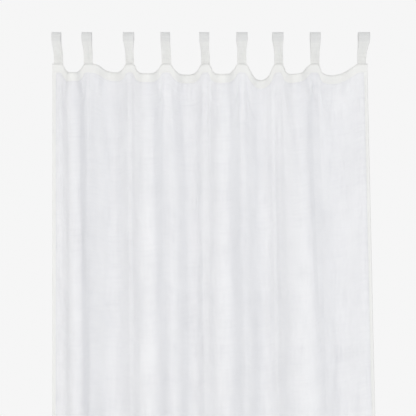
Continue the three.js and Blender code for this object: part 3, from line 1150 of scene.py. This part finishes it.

# %% [markdown]
# ## Joining the looks to the moving model
#
# Every piece is hung on the body that carries it, and the plain solid it stands for is
# hidden. Drawing the curtain pushes the tabs together along the rod. The cloth, its
# seams and the first tab, which stays where it is, ride with the curtain's body; every
# other tab slides with its own body.

# %% Bodies and replacements
draw = next(j for j in frame["joints"] if j["name"] == "draw")
travel = max(abs(value) for value in draw["range_m"])


def gathers(piece, node):
    """A piece of the cloth: it rides with the curtain's body, as the first tab does, and its plain solid is
    hidden.
    """
    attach(piece, "curtain")
    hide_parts(node)
    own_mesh(piece)


gathers(panel, "panel_cloth")
gathers(facing, "heading_facing")
gathers(bottom_hem, "bottom_hem")
for hem, node in zip(side_hems, ("side_hem_left", "side_hem_right")):
    gathers(hem, node)
for node, sewn in seams.items():
    gathers(sewn, node)
for i, tab in enumerate(tabs):
    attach(tab, "curtain" if i == 0 else f"sliding_tab_{i + 1}")
    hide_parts(TABS[i])
    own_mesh(tab)

# %% [markdown]
# ## How many sheets of cloth there are
#
# The panel, the facing and the three hems are five sheets of cloth, and each tab is
# one more.

# %% Sheets of cloth
print("declared sheets:", 5 + len(tabs))

# %% [markdown]
# ## Floor
#
# A pale floor lies just below the hem and catches a faint shadow. A plane's far edge
# would draw a horizon behind the curtain, so the floor fades out before it ends.

# %% Floor
FLOOR_GAP = 0.015                      # below the lowest thread of the hem
FLOOR_REACH = 3.0
FADE_FROM, FADE_TO = 0.9, 2.9          # how far out the floor starts and ends its fade


def make_floor():
    low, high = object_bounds()
    mesh = bpy.data.meshes.new("floor")
    reach, z = FLOOR_REACH, low[2] - FLOOR_GAP
    corners = [(-reach, -reach, z), (reach, -reach, z), (reach, reach, z), (-reach, reach, z)]
    mesh.from_pydata(corners, [], [(0, 1, 2, 3)])
    floor = bpy.data.objects.new("floor", mesh)
    bpy.context.collection.objects.link(floor)
    material = bpy.data.materials.new("pale_floor")
    n = Nodes(material)
    pale = {"Base Color": (0.82, 0.82, 0.81, 1), "Roughness": 0.8}
    surface = n.add("ShaderNodeBsdfPrincipled", pale).outputs[0]
    place = n.add("ShaderNodeTexCoord").outputs["Object"]
    flat = n.add("ShaderNodeVectorMath", {0: place, 1: (1, 1, 0)}, operation="MULTIPLY").outputs[0]
    away = n.add("ShaderNodeVectorMath", {0: flat}, operation="LENGTH").outputs["Value"]
    fade = n.ramp(away, FADE_FROM, FADE_TO)
    clear = n.add("ShaderNodeBsdfTransparent").outputs[0]
    rim = n.add("ShaderNodeMixShader", {0: fade, 1: surface, 2: clear}).outputs[0]
    n.add("ShaderNodeOutputMaterial", {"Surface": rim})
    floor.data.materials.append(material)
    floor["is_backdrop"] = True
    return floor


floor = make_floor()
print("floor at z:", round(floor.data.vertices[0].co.z, 3))

# %% [markdown]
# ## Light
#
# A sheer white curtain shows best in nearly even light, so most of the light here
# comes from a plain white surround. Three weak, large lamps do the rest: a warm one
# near the middle and a cool one further to the right model the folds without hard
# shadows, and one behind keeps the back of the hems bright.

# %% Light
BACKDROP = 0.921               # how bright the plain surround looks
SURROUND_LIGHT = 0.911         # how much light it gives
LIT_POINT = (0, 0, -0.7)       # what the lamps face


def soft_light(name, place, size, watts, tint=(1, 1, 1)):
    """A square lamp that faces the upper half of the curtain."""
    lamp = bpy.data.lights.new(name, "AREA")
    lamp.size, lamp.energy, lamp.color = size, watts, tint
    made = bpy.data.objects.new(name, lamp)
    made.location = place
    aim = Vector(LIT_POINT) - Vector(place)
    made.rotation_euler = aim.to_track_quat("-Z", "Y").to_euler()
    bpy.context.collection.objects.link(made)
    return made


world = bpy.data.worlds.new("studio")
bpy.context.scene.world = world
world.use_nodes = True
surround = world.node_tree
seen = surround.nodes.new("ShaderNodeLightPath").outputs["Is Camera Ray"]
level = surround.nodes.new("ShaderNodeMapRange")
level.inputs["To Min"].default_value, level.inputs["To Max"].default_value = SURROUND_LIGHT, BACKDROP
surround.links.new(seen, level.inputs["Value"])
surround.links.new(level.outputs["Result"], surround.nodes["Background"].inputs["Strength"])
surround.nodes["Background"].inputs["Color"].default_value = (1, 1, 1, 1)
bpy.context.scene.view_settings.view_transform = "Standard"
soft_light("warm_key", (-0.75, -1.8, -0.9), 1.4, 7.0, (1.0, 0.96, 0.89))
soft_light("cool_fill", (1.6, -3.2, -0.9), 2.4, 13, (0.96, 0.975, 1.0))
soft_light("back_fill", (0.8, 3.4, 0.2), 3.0, 12)

# %% [markdown]
# ## Camera
#
# The camera looks straight at the heading, as a shop shows its curtains. A long lens
# keeps the tabs parallel, and the view ends above the hem, so that the heading, its
# tabs and its stitching are seen large.

# %% Camera
VIEW_WIDTH = 1.290                        # seen at the rod's distance
AIM = Vector((-0.009, 0.0, -0.530))       # middle of the view
DISTANCE = 4.5
SENSOR = 36.0                             # mm
lens = bpy.data.cameras.new("catalogue_lens")
lens.sensor_width = SENSOR
lens.lens = SENSOR * DISTANCE / VIEW_WIDTH
camera = bpy.data.objects.new("camera", lens)
camera.location = AIM + Vector((0, -DISTANCE, 0))
camera.rotation_euler = (math.pi / 2, 0, 0)
bpy.context.collection.objects.link(camera)
bpy.context.scene.camera = camera
print("focal length, mm:", round(lens.lens, 1))

# %% Sizes and finish
visual_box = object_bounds()
plain = lambda box: [[float(c) for c in corner] for corner in box]
{"cad": plain(frame_box), "visual": plain(visual_box)}
print("visual box, m:", [[round(c, 3) for c in corner] for corner in visual_box])
